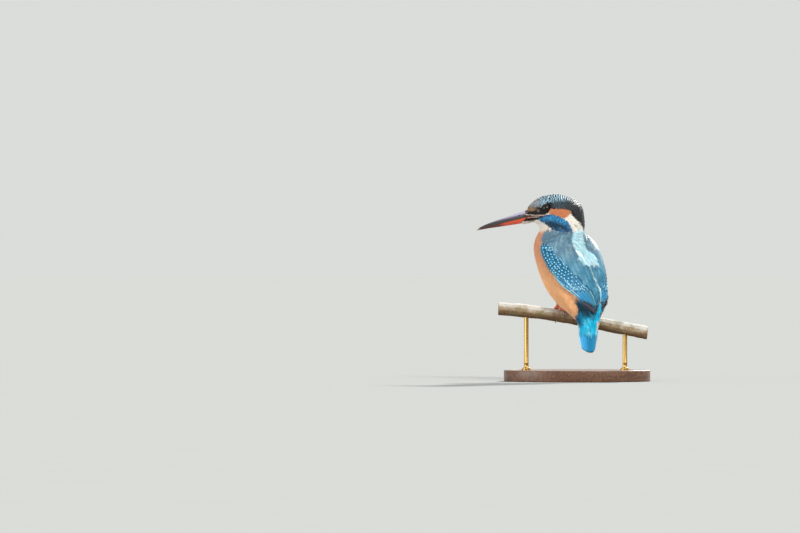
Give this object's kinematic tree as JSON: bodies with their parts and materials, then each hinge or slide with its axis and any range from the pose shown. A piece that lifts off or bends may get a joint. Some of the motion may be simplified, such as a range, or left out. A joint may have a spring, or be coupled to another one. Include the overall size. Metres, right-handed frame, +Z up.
{
  "type": "common kingfisher on a perch",
  "caption": "Life-size common kingfisher perched upright on a short branch, head turned to its left, long dagger bill, folded wings; two rods and an oval base hold the branch.",
  "frame": {"origin": "centre of the stand base's underside", "axes": "+Z up, -Y the way the trunk faces, +X the bird's left"},
  "size_m": [0.0964, 0.0968, 0.1332],
  "materials": {
    "plumage_head": "short barred feathers",
    "plumage_breast": "soft feathers",
    "plumage_wing": "sleek feathers with a satin sheen",
    "plumage_tail": "sleek feathers with a satin sheen",
    "bill_upper": "smooth horn",
    "bill_lower": "smooth horn",
    "eye": "wet gloss",
    "leg": "fine scales",
    "claw": "smooth horn",
    "bark": "weathered bark",
    "stand_wood": "oiled hardwood",
    "stand_brass": "brushed"
  },
  "bodies": {
    "root": {"head": "plumage_head", "neck": "plumage_breast", "trunk": "plumage_breast", "wing_left": "plumage_wing", "wing_right": "plumage_wing", "tail": "plumage_tail", "bill_upper": "bill_upper", "bill_lower": "bill_lower", "eye_left": "eye", "eye_right": "eye", "leg_left": "leg", "leg_right": "leg", "claw_left_hallux": "claw", "claw_left_inner": "claw", "claw_left_middle": "claw", "claw_left_outer": "claw", "claw_right_hallux": "claw", "claw_right_inner": "claw", "claw_right_middle": "claw", "claw_right_outer": "claw", "perch": "bark", "stand_base": "stand_wood", "stand_rod_1": "stand_brass", "stand_rod_2": "stand_brass"}
  },
  "joints": []
}
